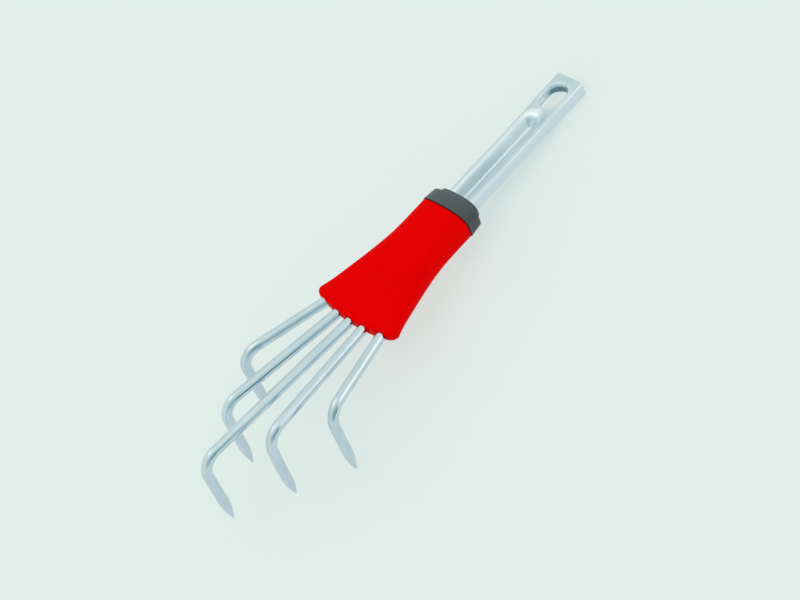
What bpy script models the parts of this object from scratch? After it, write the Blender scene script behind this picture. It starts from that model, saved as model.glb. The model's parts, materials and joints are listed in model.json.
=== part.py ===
"""Head of a hand cultivator: five bent steel tines held in a moulded plastic body, with a
pressed steel tongue that pushes into a separate handle.

The tool is laid out in its own frame. +X runs along the tongue, away from the tines, and
x = 0 is the shoulder where the mouth of a handle stops. The claws point down, along -Z, and
the tool is symmetric about the XZ plane. The last step turns the whole tool and sets it down
on its outer claws and the tip of the tongue. All sizes are in metres.
"""

import math

import bmesh
import bpy
from mathutils import Euler, Vector

# Clearances
SEAT_GAP = 0.0003
ROOT_GAP = 0.0003

# Tines: round rod, fanned out in a plane that rises slightly ahead of the body
ROD_DIAMETER = 0.0070
BEND_RADIUS = 0.0120
CLAW_ANGLE = math.radians(91.4)
CLAW_LENGTH = 0.0583
OUTER_CLAW_LENGTH = 0.0572
POINT_LENGTH = 0.0185
POINT_TIP_DIAMETER = 0.0012
POINT_FULLNESS = 1.8
MIDDLE_REACH = 0.2315
INNER_REACH = 0.1956
OUTER_REACH = 0.1611
INNER_SPREAD = 0.0207
OUTER_SPREAD = 0.0406
ROOT_SETBACK = 0.0575
FAN_PITCH = math.radians(4.7)
FAN_CROSSING = 0.1080

# Tongue: one pressed sheet, a grooved channel behind and a flat plate over the rods in front
SHEET = 0.0018
TONGUE_WIDTH = 0.0220
TONGUE_HEIGHT = 0.0095
TONGUE_LENGTH = 0.1142
FOLD_RADIUS = 0.0035
TIP_FOLD_RADIUS = 0.0022
GROOVE_DEPTH = 0.0057
GROOVE_LENGTH = 0.0830
GROOVE_RUN_OUT = 0.0122
TIP_SAG = 0.0004
UNFOLD_LENGTH = 0.0290
GROOVE_START = 0.0120
PLATE_LENGTH = 0.0290
PLATE_REAR_MARGIN = 0.0020
PLATE_OVERHANG = 0.0010

# Lock hole through the tongue, with its edge drawn down
HOLE_LENGTH = 0.0214
HOLE_WIDTH = 0.0146
HOLE_FROM_TIP = 0.0172
RIM_RADIUS = 0.0007
FLANGE_NEAR_DEPTH = 0.0040
FLANGE_FAR_DEPTH = 0.0080
FLANGE_WALL = 0.0012

# Moulded body
BODY_FRONT = 0.1025
FLARE_LENGTH = 0.0750
FLARE_NECK_HANDLE = 0.0220
FLARE_FRONT_HANDLE = 0.0370
FLARE_FRONT_ANGLE = math.radians(14)
FRONT_SIDE_WALL = 0.0062
FRONT_TOP_WALL = 0.0017
FRONT_ARC_RADIUS = 0.1300
FRONT_ARC_FADE = 0.0200
FRONT_CORNER_RADIUS = 0.0055
FRONT_EDGE_RADIUS = 0.0020
FRONT_EXPONENT = 4.5
NECK_SIDE_WALL = 0.0087
NECK_TOP_WALL = 0.0073
NECK_EXPONENT = 3.0
NECK_EDGE_RADIUS = 0.0004
NECK_DROP = 0.0010

# Collar
RING_LENGTH = 0.0100
RING_STEP = 0.0004
RING_TAPER = 0.0008
RING_EDGE_RADIUS = 0.0009
BOSS_LENGTH = 0.0034
BOSS_SIDE_WALL = 0.0046
BOSS_TOP_WALL = 0.0043
BOSS_EXPONENT = 2.6
BOSS_DROP = 0.0004
SPIGOT_LENGTH = 0.0040
SPIGOT_SIDE_WALL = 0.0048
SPIGOT_TOP_WALL = 0.0040

# Fineness of the facets
CURVE_RESOLUTION = 6
BEND_STEPS = 12
POINT_STEPS = 7
BORE_POINTS = 32
RING_POINTS = 52
FLARE_STEPS = 14
FACE_STEPS = 5
CORNER_STEPS = 7
EDGE_STEPS = 4
TOP_COLUMNS = 8
FOLD_COLUMNS = 5
WALL_COLUMNS = 2
PLATE_STEPS = 2
UNFOLD_STEPS = 16
LEAD_IN_STEPS = 5
GROOVE_STEPS = 4
RUN_OUT_STEPS = 10
TIP_STEPS = 3
HOLE_POINTS = 40
SHARP_ANGLE = math.radians(35)
WELD_DISTANCE = 0.000001
LEAST_EDGE = 0.00001
MITRE_LIMIT = 0.4
SETTLE_ROUNDS = 8

# Worked out from the sizes above
ROD_RADIUS = ROD_DIAMETER / 2
ROOT_PITCH = ROD_DIAMETER + ROOT_GAP
RIDGE_Y = TONGUE_WIDTH / 2 - FOLD_RADIUS
TONGUE_TOP = TONGUE_HEIGHT / 2
PLATE_REAR = -ROOT_SETBACK + PLATE_REAR_MARGIN
PLATE_FRONT = PLATE_REAR - PLATE_LENGTH
BODY_REAR = -RING_LENGTH - SEAT_GAP
HOLE_CENTRE = TONGUE_LENGTH - HOLE_FROM_TIP
RUN_OUT_START = GROOVE_LENGTH - GROOVE_RUN_OUT
FLARE_FRONT_SLOPE = math.tan(FLARE_FRONT_ANGLE)

TINES = {
    "tine_left_outer": (OUTER_REACH, OUTER_SPREAD, 2, OUTER_CLAW_LENGTH),
    "tine_left_inner": (INNER_REACH, INNER_SPREAD, 1, CLAW_LENGTH),
    "tine_middle": (MIDDLE_REACH, 0.0, 0, CLAW_LENGTH),
    "tine_right_inner": (INNER_REACH, -INNER_SPREAD, -1, CLAW_LENGTH),
    "tine_right_outer": (OUTER_REACH, -OUTER_SPREAD, -2, OUTER_CLAW_LENGTH),
}


def clear_scene():
    for item in list(bpy.data.objects):
        bpy.data.objects.remove(item, do_unlink=True)


def make_collection(name):
    collection = bpy.data.collections.new(name)
    bpy.context.scene.collection.children.link(collection)
    return collection


def make_material(name, colour, roughness, metallic):
    material = bpy.data.materials.new(name)
    material.use_nodes = True
    shader = material.node_tree.nodes["Principled BSDF"]
    shader.inputs["Base Color"].default_value = (*colour, 1.0)
    shader.inputs["Roughness"].default_value = roughness
    shader.inputs["Metallic"].default_value = metallic
    material.diffuse_color = (*colour, 1.0)
    return material


def ease(start, end, value):
    """0 before start, 1 after end, with a smooth S between them."""
    t = min(max((value - start) / (end - start), 0.0), 1.0)
    return t * t * (3.0 - 2.0 * t)


def mix(a, b, t):
    return a + (b - a) * t


# Mesh helpers


def object_from_mesh(name, mesh, collection, material):
    item = bpy.data.objects.new(name, mesh)
    collection.objects.link(item)
    if material:
        mesh.materials.append(material)
        mesh.shade_smooth()
        mesh.set_sharp_from_angle(angle=SHARP_ANGLE)
    return item


def loft(name, rings, collection, material=None, centre=None):
    """A closed skin through equal rings of points. The first end is closed flat, and the
    last one flat too, or round the point given as centre."""
    bm = bmesh.new()
    loops = [[bm.verts.new(point) for point in ring] for ring in rings]
    for lower, upper in zip(loops, loops[1:]):
        for i in range(len(lower)):
            j = (i + 1) % len(lower)
            bm.faces.new((lower[i], lower[j], upper[j], upper[i]))
    bm.faces.new(loops[0])
    if centre is None:
        bm.faces.new(loops[-1])
    else:
        hub = bm.verts.new(centre)
        last = loops[-1]
        for i in range(len(last)):
            bm.faces.new((last[i], last[(i + 1) % len(last)], hub))
    bmesh.ops.recalc_face_normals(bm, faces=bm.faces)
    mesh = bpy.data.meshes.new(name)
    bm.to_mesh(mesh)
    bm.free()
    return object_from_mesh(name, mesh, collection, material)


def superellipse(half_width, half_height, exponent):
    """Points (y, z) round a rounded rectangle whose corners sharpen with the exponent."""
    points = []
    for i in range(RING_POINTS):
        angle = 2 * math.pi * (i + 0.5) / RING_POINTS
        c = math.cos(angle)
        s = math.sin(angle)
        y = half_width * math.copysign(abs(c) ** (2 / exponent), c)
        z = half_height * math.copysign(abs(s) ** (2 / exponent), s)
        points.append((y, z))
    return points


def ring_at(x, half_width, half_height, exponent, drop=0.0):
    return [(x, y, z - drop) for y, z in superellipse(half_width, half_height, exponent)]


def as_cutter(item):
    item.hide_render = True
    item.display_type = "WIRE"
    return item


def cut(item, cutter, operation="DIFFERENCE"):
    modifier = item.modifiers.new(operation.lower() + "_" + cutter.name, "BOOLEAN")
    modifier.operation = operation
    modifier.solver = "EXACT"
    modifier.object = cutter


def even_shading(item):
    """Lets the large faces set the shading beside edges that a cut has made."""
    modifier = item.modifiers.new("even_shading", "WEIGHTED_NORMAL")
    modifier.keep_sharp = True


# The fan of tines


def fan_point(ahead, y):
    """A point of the fan plane, by its distance ahead of the shoulder."""
    run = ahead - FAN_CROSSING
    x = -FAN_CROSSING - run * math.cos(FAN_PITCH)
    return Vector((x, y, run * math.sin(FAN_PITCH)))


def rod_y(reach, spread, place, ahead):
    """Where a rod's axis lies across the fan at a distance ahead of the shoulder."""
    root_y = place * ROOT_PITCH
    return mix(root_y, spread, (ahead - ROOT_SETBACK) / (reach - ROOT_SETBACK))


def outer_rod_y(ahead):
    return rod_y(OUTER_REACH, OUTER_SPREAD, 2, ahead)


def tine_path(reach, spread, place, claw):
    """Axis points and radii of one tine, from its root to its point."""
    root = fan_point(ROOT_SETBACK, place * ROOT_PITCH)
    corner = fan_point(reach, spread)
    outward = (corner - root).normalized()
    up = Vector((math.sin(FAN_PITCH), 0, math.cos(FAN_PITCH)))
    down = outward * math.cos(CLAW_ANGLE) - up * math.sin(CLAW_ANGLE)
    trim = BEND_RADIUS * math.tan(CLAW_ANGLE / 2)
    start = corner - outward * trim
    centre = start - up * BEND_RADIUS
    points = [(root, ROD_RADIUS)]
    for i in range(BEND_STEPS + 1):
        turn = CLAW_ANGLE * i / BEND_STEPS
        offset = up * math.cos(turn) + outward * math.sin(turn)
        points.append((centre + offset * BEND_RADIUS, ROD_RADIUS))
    tip_radius = POINT_TIP_DIAMETER / 2
    for i in range(POINT_STEPS + 1):
        t = i / POINT_STEPS
        radius = mix(ROD_RADIUS, tip_radius, t ** POINT_FULLNESS)
        points.append((corner + down * (claw - POINT_LENGTH * (1 - t)), radius))
    return points


def mesh_from_curve(item, collection, material):
    """The curve's own skin as a mesh object with its caps welded on."""
    depsgraph = bpy.context.evaluated_depsgraph_get()
    mesh = bpy.data.meshes.new_from_object(item.evaluated_get(depsgraph))
    bm = bmesh.new()
    bm.from_mesh(mesh)
    bmesh.ops.remove_doubles(bm, verts=bm.verts, dist=WELD_DISTANCE)
    bmesh.ops.recalc_face_normals(bm, faces=bm.faces)
    bm.to_mesh(mesh)
    bm.free()
    name = item.name
    matrix = item.matrix_world.copy()
    bpy.data.objects.remove(item, do_unlink=True)
    mesh.materials.clear()
    result = object_from_mesh(name, mesh, collection, material)
    result.matrix_world = matrix
    return result


def build_tine(name, shape, collection, material):
    curve = bpy.data.curves.new(name, "CURVE")
    curve.dimensions = "3D"
    curve.bevel_depth = 1.0
    curve.bevel_resolution = CURVE_RESOLUTION
    curve.use_fill_caps = True
    path = tine_path(*shape)
    spline = curve.splines.new("POLY")
    spline.points.add(len(path) - 1)
    for point, (location, radius) in zip(spline.points, path):
        point.co = (*location, 1.0)
        point.radius = radius
    item = bpy.data.objects.new(name, curve)
    collection.objects.link(item)
    return mesh_from_curve(item, collection, material)


def build_rod_cutter(name, reach, spread, place, cutters):
    """The bore of one rod in the body, from its root to well ahead of the front face."""
    root = fan_point(ROOT_SETBACK, place * ROOT_PITCH)
    corner = fan_point(reach, spread)
    outward = (corner - root).normalized()
    back = root - outward * SEAT_GAP
    length = BODY_FRONT - ROOT_SETBACK + FRONT_ARC_FADE
    bpy.ops.mesh.primitive_cylinder_add(
        vertices=BORE_POINTS, radius=ROD_RADIUS + SEAT_GAP, depth=length,
        location=back + outward * (length / 2),
        rotation=outward.to_track_quat("Z", "Y").to_euler())
    item = bpy.context.object
    item.name = name
    for owner in list(item.users_collection):
        owner.objects.unlink(item)
    cutters.objects.link(item)
    return as_cutter(item)


# The pressed tongue


def groove_drop(distance, depth):
    """How far the sheet lies below its ridges at a distance from the groove's middle."""
    if depth < LEAST_EDGE or distance >= RIDGE_Y:
        return 0.0
    reach = math.hypot(RIDGE_Y, depth - FOLD_RADIUS)
    slope = math.atan2(depth - FOLD_RADIUS, RIDGE_Y) + math.asin(FOLD_RADIUS / reach)
    tangent = math.sqrt(reach ** 2 - FOLD_RADIUS ** 2) * math.cos(slope)
    if distance < tangent:
        return depth - distance * math.tan(slope)
    return FOLD_RADIUS - math.sqrt(FOLD_RADIUS ** 2 - (RIDGE_Y - distance) ** 2)


def groove_distance(x, y):
    """Distance from the groove's middle, which spreads round the groove's closed end."""
    offset = GROOVE_RUN_OUT - RIDGE_Y
    ahead = x - RUN_OUT_START
    side = abs(y)
    if ahead * RIDGE_Y <= offset * side:
        return side
    a = RIDGE_Y ** 2 - offset ** 2
    b = 2 * offset * ahead
    c = ahead ** 2 + side ** 2
    return RIDGE_Y * (math.sqrt(b * b + 4 * a * c) - b) / (2 * a)


def plate_top(x):
    """Height of the plate's upper face, which lies on the rods and follows the fan."""
    above = ROD_RADIUS + SEAT_GAP + SHEET
    run = -x - FAN_CROSSING
    return run * math.tan(FAN_PITCH) + above / math.cos(FAN_PITCH)


def half_section(x):
    """Half of the tongue's upper outline at x, as (y, z) from the middle to the free edge.
    The folds at its sides grow tighter from the groove's closed end to the lock hole."""
    channel = ease(PLATE_REAR, PLATE_REAR + UNFOLD_LENGTH, x)
    top = mix(plate_top(x), TONGUE_TOP, channel)
    angle = channel * math.pi / 2
    depth = GROOVE_DEPTH * ease(PLATE_REAR + UNFOLD_LENGTH / 2, -GROOVE_START, x)
    fold = mix(FOLD_RADIUS, TIP_FOLD_RADIUS, ease(RUN_OUT_START, HOLE_CENTRE, x))
    flat = TONGUE_WIDTH / 2 - fold
    fold_run = fold * math.pi / 2
    wall = TONGUE_HEIGHT - fold
    plate_half = outer_rod_y(-x) + PLATE_OVERHANG
    wall += max(plate_half - flat - fold_run - wall, 0.0) * (1 - channel)
    points = []
    for i in range(TOP_COLUMNS + 1):
        y = flat * i / TOP_COLUMNS
        points.append((y, top - groove_drop(groove_distance(x, y), depth)))
    y, z = flat, top
    step = fold_run / FOLD_COLUMNS
    for i in range(FOLD_COLUMNS):
        heading = angle * (i + 0.5) / FOLD_COLUMNS
        y += step * math.cos(heading)
        z -= step * math.sin(heading)
        points.append((y, z))
    for i in range(WALL_COLUMNS):
        y += wall / WALL_COLUMNS * math.cos(angle)
        z -= wall / WALL_COLUMNS * math.sin(angle)
        points.append((y, z))
    return points


def tongue_stations():
    """Where the sections of the tongue are taken, close together where its form changes."""
    unfolded = PLATE_REAR + UNFOLD_LENGTH
    stations = []
    for start, end, steps in ((PLATE_FRONT, PLATE_REAR, PLATE_STEPS),
                              (PLATE_REAR, unfolded, UNFOLD_STEPS),
                              (unfolded, -GROOVE_START, LEAD_IN_STEPS),
                              (-GROOVE_START, RUN_OUT_START, GROOVE_STEPS),
                              (RUN_OUT_START, GROOVE_LENGTH, RUN_OUT_STEPS),
                              (GROOVE_LENGTH, TONGUE_LENGTH, TIP_STEPS)):
        stations += [mix(start, end, i / steps) for i in range(steps)]
    stations.append(TONGUE_LENGTH)
    return stations


def build_tongue(collection, cutters, material):
    bm = bmesh.new()
    rows = []
    for x in tongue_stations():
        half = half_section(x)
        section = [(-y, z) for y, z in reversed(half[1:])] + half
        at_tip = ease(GROOVE_LENGTH, TONGUE_LENGTH, x)
        row = []
        for y, z in section:
            sag = TIP_SAG * at_tip * (y / (TONGUE_WIDTH / 2)) ** 2
            row.append(bm.verts.new((x - sag, y, z)))
        rows.append(row)
    for near, far in zip(rows, rows[1:]):
        for i in range(len(near) - 1):
            bm.faces.new((near[i], far[i], far[i + 1], near[i + 1]))
    mesh = bpy.data.meshes.new("tongue")
    bm.to_mesh(mesh)
    bm.free()
    tongue = object_from_mesh("tongue", mesh, collection, material)
    shell = tongue.modifiers.new("sheet", "SOLIDIFY")
    shell.thickness = SHEET
    shell.offset = -1.0
    shell.use_even_offset = True
    cut(tongue, build_flange(cutters), "UNION")
    cut(tongue, build_hole_cutter(cutters))
    even_shading(tongue)
    return tongue


def oval_ring(grow, near_z, far_z=None):
    """Points round the lock hole's outline, a slot with round ends, grown by a distance.
    The ring may slope from its near end, at near_z, to its far end."""
    slope = 0.0 if far_z is None else (far_z - near_z) / HOLE_LENGTH
    radius = HOLE_WIDTH / 2
    straight = (HOLE_LENGTH - HOLE_WIDTH) / 2
    points = []
    for i in range(HOLE_POINTS):
        angle = 2 * math.pi * (i + 0.5) / HOLE_POINTS
        shift = math.copysign(straight, math.cos(angle))
        x = HOLE_CENTRE + shift + (radius + grow) * math.cos(angle)
        z = near_z + slope * (x - HOLE_CENTRE + HOLE_LENGTH / 2)
        points.append((x, (radius + grow) * math.sin(angle), z))
    return points


def build_flange(cutters):
    """The sheet drawn down round the lock hole, deeper at the far end, where a latch pulls.
    It is a solid plug until the hole is cut."""
    rings = [oval_ring(FLANGE_WALL, TONGUE_TOP - FLANGE_NEAR_DEPTH,
                       TONGUE_TOP - FLANGE_FAR_DEPTH),
             oval_ring(FLANGE_WALL, TONGUE_TOP - SHEET / 2)]
    return as_cutter(loft("flange_plug", rings, cutters))


def build_hole_cutter(cutters):
    """The lock hole with its rolled upper rim."""
    rings = [oval_ring(0.0, TONGUE_TOP - TONGUE_HEIGHT - SHEET)]
    for i in range(EDGE_STEPS + 1):
        angle = math.pi / 2 * i / EDGE_STEPS
        grow = RIM_RADIUS * (1 - math.cos(angle))
        rings.append(oval_ring(grow, TONGUE_TOP - RIM_RADIUS * (1 - math.sin(angle))))
    rings.append(oval_ring(RIM_RADIUS, TONGUE_TOP + SHEET))
    return as_cutter(loft("lock_hole", rings, cutters))


def offset_outline(points, distance):
    """A closed outline, given anticlockwise, moved outwards by a distance."""
    moved = []
    for i, point in enumerate(points):
        before = Vector(point) - Vector(points[i - 1])
        after = Vector(points[(i + 1) % len(points)]) - Vector(point)
        normal_a = Vector((before.y, -before.x)).normalized()
        normal_b = Vector((after.y, -after.x)).normalized()
        normal = normal_a + normal_b
        normal *= distance / max(normal.dot(normal_a), MITRE_LIMIT)
        moved.append((point[0] + normal.x, point[1] + normal.y))
    return moved


def build_tongue_pocket(cutters):
    """The space that the tongue takes up in the body and the collar, its channel included."""
    rings = []
    stations = [x for x in tongue_stations() if x < RUN_OUT_START]
    stations[0] -= SEAT_GAP
    for x in stations:
        half = half_section(x)
        edge_y, edge_z = half[-1]
        turn = math.pi / 2 * ease(PLATE_REAR, PLATE_REAR + UNFOLD_LENGTH, x)
        floor = edge_z - SHEET * math.cos(turn) - LEAST_EDGE
        outline = [(-edge_y, floor), (0.0, floor), (edge_y, floor)]
        outline += list(reversed(half)) + [(-y, z) for y, z in half[1:]]
        rings.append([(x, y, z) for y, z in offset_outline(outline, SEAT_GAP)])
    return as_cutter(loft("tongue_pocket", rings, cutters))


# The moulded body


def bezier(a, b, c, d, t):
    u = 1 - t
    return u ** 3 * a + 3 * u * u * t * b + 3 * u * t * t * c + t ** 3 * d


def body_ring(x, half_width):
    """One section of the body, drawn in above and below near the rounded front edge."""
    flare_end = -BODY_FRONT + FLARE_LENGTH
    neck = ease(-BODY_FRONT, flare_end, x)
    front_half = ROD_RADIUS + FRONT_TOP_WALL
    neck_half = TONGUE_HEIGHT / 2 + NECK_TOP_WALL
    half_height = mix(front_half, neck_half, neck)
    exponent = mix(FRONT_EXPONENT, NECK_EXPONENT, neck)
    middle = mix(fan_point(BODY_FRONT, 0).z, -NECK_DROP, neck)
    arc = 1 - ease(-BODY_FRONT, -BODY_FRONT + FRONT_ARC_FADE, x)
    short = max(FRONT_EDGE_RADIUS - (x + BODY_FRONT), 0.0)
    inset = FRONT_EDGE_RADIUS - math.sqrt(FRONT_EDGE_RADIUS ** 2 - short ** 2)
    points = []
    for y, z in superellipse(half_width, half_height - inset, exponent):
        points.append((x + arc * y * y / (2 * FRONT_ARC_RADIUS), y, z + middle))
    return points


def build_body(collection, material):
    front_half = outer_rod_y(BODY_FRONT) + ROD_RADIUS + FRONT_SIDE_WALL
    neck_half = TONGUE_WIDTH / 2 + NECK_SIDE_WALL
    flare_end = -BODY_FRONT + FLARE_LENGTH
    spigot = (TONGUE_WIDTH / 2 + SPIGOT_SIDE_WALL, TONGUE_HEIGHT / 2 + SPIGOT_TOP_WALL)
    neck_height = TONGUE_HEIGHT / 2 + NECK_TOP_WALL
    rings = [ring_at(BODY_REAR + SPIGOT_LENGTH, *spigot, NECK_EXPONENT, NECK_DROP),
             ring_at(BODY_REAR, *spigot, NECK_EXPONENT, NECK_DROP)]
    for i in range(EDGE_STEPS):
        angle = math.pi / 2 * i / (EDGE_STEPS - 1)
        inset = NECK_EDGE_RADIUS * (1 - math.sin(angle))
        x = BODY_REAR - NECK_EDGE_RADIUS * (1 - math.cos(angle))
        rings.append(ring_at(x, neck_half - inset, neck_height - inset, NECK_EXPONENT,
                             NECK_DROP))
    for i in range(FLARE_STEPS + 1):
        t = i / FLARE_STEPS
        x = bezier(flare_end, flare_end - FLARE_NECK_HANDLE,
                   -BODY_FRONT + FLARE_FRONT_HANDLE, -BODY_FRONT, t)
        half_width = bezier(neck_half, neck_half,
                            front_half - FLARE_FRONT_HANDLE * FLARE_FRONT_SLOPE,
                            front_half, t)
        if x > -BODY_FRONT + FRONT_CORNER_RADIUS:
            rings.append(body_ring(x, half_width))
    for i in range(CORNER_STEPS + 1):
        angle = math.pi / 2 * i / CORNER_STEPS
        behind = FRONT_CORNER_RADIUS * (1 - math.sin(angle))
        half_width = front_half - FLARE_FRONT_SLOPE * behind
        half_width -= FRONT_CORNER_RADIUS * (1 - math.cos(angle))
        rings.append(body_ring(-BODY_FRONT + behind, half_width))
    last = rings[-1]
    middle = fan_point(BODY_FRONT, 0).z
    for i in range(1, FACE_STEPS):
        share = 1 - i / FACE_STEPS
        ring = []
        for x, y, z in last:
            near_y = y * share
            ring.append((-BODY_FRONT + near_y * near_y / (2 * FRONT_ARC_RADIUS), near_y,
                         mix(middle, z, share)))
        rings.append(ring)
    return loft("body", rings, collection, material, centre=(-BODY_FRONT, 0, middle))


# The collar


def build_collar(collection, material):
    front = (TONGUE_WIDTH / 2 + NECK_SIDE_WALL + RING_STEP,
             TONGUE_HEIGHT / 2 + NECK_TOP_WALL + RING_STEP)
    rear = (front[0] - RING_TAPER, front[1] - RING_TAPER)
    boss = (TONGUE_WIDTH / 2 + BOSS_SIDE_WALL, TONGUE_HEIGHT / 2 + BOSS_TOP_WALL)
    edge = RING_EDGE_RADIUS
    rings = []
    for i in range(EDGE_STEPS):
        angle = math.pi / 2 * i / (EDGE_STEPS - 1)
        inset = edge / 2 * (1 - math.sin(angle))
        x = -RING_LENGTH + edge / 2 * (1 - math.cos(angle))
        rings.append(ring_at(x, front[0] - inset, front[1] - inset, NECK_EXPONENT,
                             NECK_DROP))
    for i in range(EDGE_STEPS + 1):
        angle = math.pi / 2 * i / EDGE_STEPS
        inset = edge * (1 - math.cos(angle))
        x = -edge * (1 - math.sin(angle))
        rings.append(ring_at(x, rear[0] - inset, rear[1] - inset, NECK_EXPONENT,
                             NECK_DROP))
    rings.append(ring_at(0.0, *boss, BOSS_EXPONENT, BOSS_DROP))
    for i in range(EDGE_STEPS + 1):
        angle = math.pi / 2 * i / EDGE_STEPS
        inset = edge * (1 - math.cos(angle))
        x = BOSS_LENGTH - edge * (1 - math.sin(angle))
        rings.append(ring_at(x, boss[0] - inset, boss[1] - inset, BOSS_EXPONENT,
                             BOSS_DROP))
    return loft("collar", rings, collection, material)


def build_recess(cutters):
    """The recess of the collar that takes the body's spigot."""
    half_width = TONGUE_WIDTH / 2 + SPIGOT_SIDE_WALL + SEAT_GAP
    half_height = TONGUE_HEIGHT / 2 + SPIGOT_TOP_WALL + SEAT_GAP
    rings = [ring_at(BODY_REAR - SEAT_GAP, half_width, half_height, NECK_EXPONENT,
                     NECK_DROP),
             ring_at(BODY_REAR + SPIGOT_LENGTH + SEAT_GAP, half_width, half_height,
                     NECK_EXPONENT, NECK_DROP)]
    return as_cutter(loft("spigot_recess", rings, cutters))


# Setting the tool down


def settle(root, pieces):
    """Turns the tool about Y until its outer claws and the tongue's tip both reach the
    floor, and moves the middle of its footprint to the origin."""
    bpy.context.view_layer.update()
    depsgraph = bpy.context.evaluated_depsgraph_get()
    points = []
    for piece in pieces:
        shape = piece.evaluated_get(depsgraph)
        points += [piece.matrix_world @ vertex.co for vertex in shape.to_mesh().vertices]
        shape.to_mesh_clear()
    pitch = 0.0
    for _ in range(SETTLE_ROUNDS):
        turned = [Euler((0, pitch, 0)).to_matrix() @ point for point in points]
        claw = min((p for p in turned if p.x < 0), key=lambda p: p.z)
        tip = min((p for p in turned if p.x > 0), key=lambda p: p.z)
        pitch += math.atan2(tip.z - claw.z, tip.x - claw.x)
    turned = [Euler((0, pitch, 0)).to_matrix() @ point for point in points]
    xs = [p.x for p in turned]
    ys = [p.y for p in turned]
    root.rotation_euler = (0, pitch, 0)
    root.location = (-(min(xs) + max(xs)) / 2, -(min(ys) + max(ys)) / 2,
                     -min(p.z for p in turned))


def main():
    clear_scene()
    parts = make_collection("garden_cultivator")
    cutters = make_collection("cutters")
    zinc = make_material("zinc_steel", (0.66, 0.71, 0.74), 0.30, 1.0)
    red = make_material("red_plastic", (0.78, 0.002, 0.002), 0.38, 0.0)
    grey = make_material("grey_plastic", (0.07, 0.09, 0.10), 0.45, 0.0)

    pieces = [build_tongue(parts, cutters, zinc)]
    body = build_body(parts, red)
    collar = build_collar(parts, grey)
    pocket = build_tongue_pocket(cutters)
    cut(body, pocket)
    cut(collar, pocket)
    cut(collar, build_recess(cutters))
    for name, shape in TINES.items():
        pieces.append(build_tine(name, shape, parts, zinc))
        cut(body, build_rod_cutter(name + "_bore", *shape[:3], cutters))
    even_shading(body)
    even_shading(collar)
    pieces += [body, collar]

    root = bpy.data.objects.new("cultivator", None)
    parts.objects.link(root)
    settle(root, pieces)
    for item in pieces + list(cutters.objects):
        item.parent = root


main()
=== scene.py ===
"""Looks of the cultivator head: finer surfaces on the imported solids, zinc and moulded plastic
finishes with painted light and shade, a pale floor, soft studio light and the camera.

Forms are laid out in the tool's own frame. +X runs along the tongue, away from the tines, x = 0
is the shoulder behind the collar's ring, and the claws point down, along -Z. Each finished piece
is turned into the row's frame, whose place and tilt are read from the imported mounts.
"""

import json
import math
from collections import namedtuple

import bmesh
import bpy
from mathutils import Matrix, Vector


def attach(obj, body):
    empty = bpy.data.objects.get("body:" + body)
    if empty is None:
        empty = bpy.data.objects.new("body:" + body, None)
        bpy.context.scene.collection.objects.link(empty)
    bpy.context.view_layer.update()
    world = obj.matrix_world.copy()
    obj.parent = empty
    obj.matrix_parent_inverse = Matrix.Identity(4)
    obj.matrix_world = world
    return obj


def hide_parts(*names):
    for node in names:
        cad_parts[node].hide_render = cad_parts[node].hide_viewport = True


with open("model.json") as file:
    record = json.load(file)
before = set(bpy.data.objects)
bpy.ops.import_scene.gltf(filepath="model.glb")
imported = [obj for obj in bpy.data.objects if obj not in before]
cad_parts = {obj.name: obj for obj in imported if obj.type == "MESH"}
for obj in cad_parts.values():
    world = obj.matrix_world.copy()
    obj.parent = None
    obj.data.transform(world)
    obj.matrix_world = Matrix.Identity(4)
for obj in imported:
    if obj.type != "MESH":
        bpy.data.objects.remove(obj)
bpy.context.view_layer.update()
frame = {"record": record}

# Clearances
SEAT_GAP = 0.0003
ROOT_GAP = 0.0003

# Tines
ROD_RADIUS = 0.0035
BEND_RADIUS = 0.0120
CLAW_ANGLE = math.radians(91.4)
CLAW_LENGTH = 0.0583
OUTER_CLAW_LENGTH = 0.0572
LEFT_CLAW_LENGTH = 0.0549
RIGHT_CLAW_BOW = 0.0006
POINT_LENGTH = 0.0185
POINT_TIP_RADIUS = 0.0006
POINT_FULLNESS = 1.8
MIDDLE_REACH = 0.2315
INNER_REACH = 0.1956
OUTER_REACH = 0.1611
INNER_SPREAD = 0.0207
OUTER_SPREAD = 0.0406
ROOT_SETBACK = 0.0575
FAN_PITCH = math.radians(4.7)
FAN_CROSSING = 0.1080

# Tongue
SHEET = 0.0018
TONGUE_WIDTH = 0.0220
TONGUE_HEIGHT = 0.0095
TONGUE_LENGTH = 0.1142
FOLD_RADIUS = 0.0035
TIP_FOLD_RADIUS = 0.0022
GROOVE_DEPTH = 0.0052
GROOVE_CREST_RADIUS = 0.0050
VALLEY_RADIUS = 0.0005
GROOVE_LENGTH = 0.0830
GROOVE_RUN_OUT = 0.0122
TIP_SAG = 0.0004
UNFOLD_LENGTH = 0.0290
GROOVE_START = 0.0120
PLATE_LENGTH = 0.0290
PLATE_REAR_MARGIN = 0.0020
PLATE_OVERHANG = 0.0010
HOLE_LENGTH = 0.0214
HOLE_WIDTH = 0.0146
HOLE_FROM_TIP = 0.0172
RIM_RADIUS = 0.0007
FLANGE_NEAR_DEPTH = 0.0040
FLANGE_FAR_DEPTH = 0.0080
FLANGE_WALL = 0.0012

# Moulded body
BODY_FRONT = 0.1025
FLARE_LENGTH = 0.0750
FLARE_NECK_HANDLE = 0.0220
FLARE_FRONT_HANDLE = 0.0370
FLARE_FRONT_SLOPE = 0.2500
FRONT_SIDE_WALL = 0.0062
FRONT_TOP_WALL = 0.0017
FRONT_ARC_RADIUS = 0.1300
FRONT_ARC_FADE = 0.0200
FRONT_CORNER_RADIUS = 0.0055
FRONT_EDGE_RADIUS = 0.0020
FRONT_EXPONENT = 4.5
NECK_SIDE_WALL = 0.0087
NECK_TOP_WALL = 0.0073
NECK_EXPONENT = 3.0
NECK_EDGE_RADIUS = 0.0004
NECK_DROP = 0.0010

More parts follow.
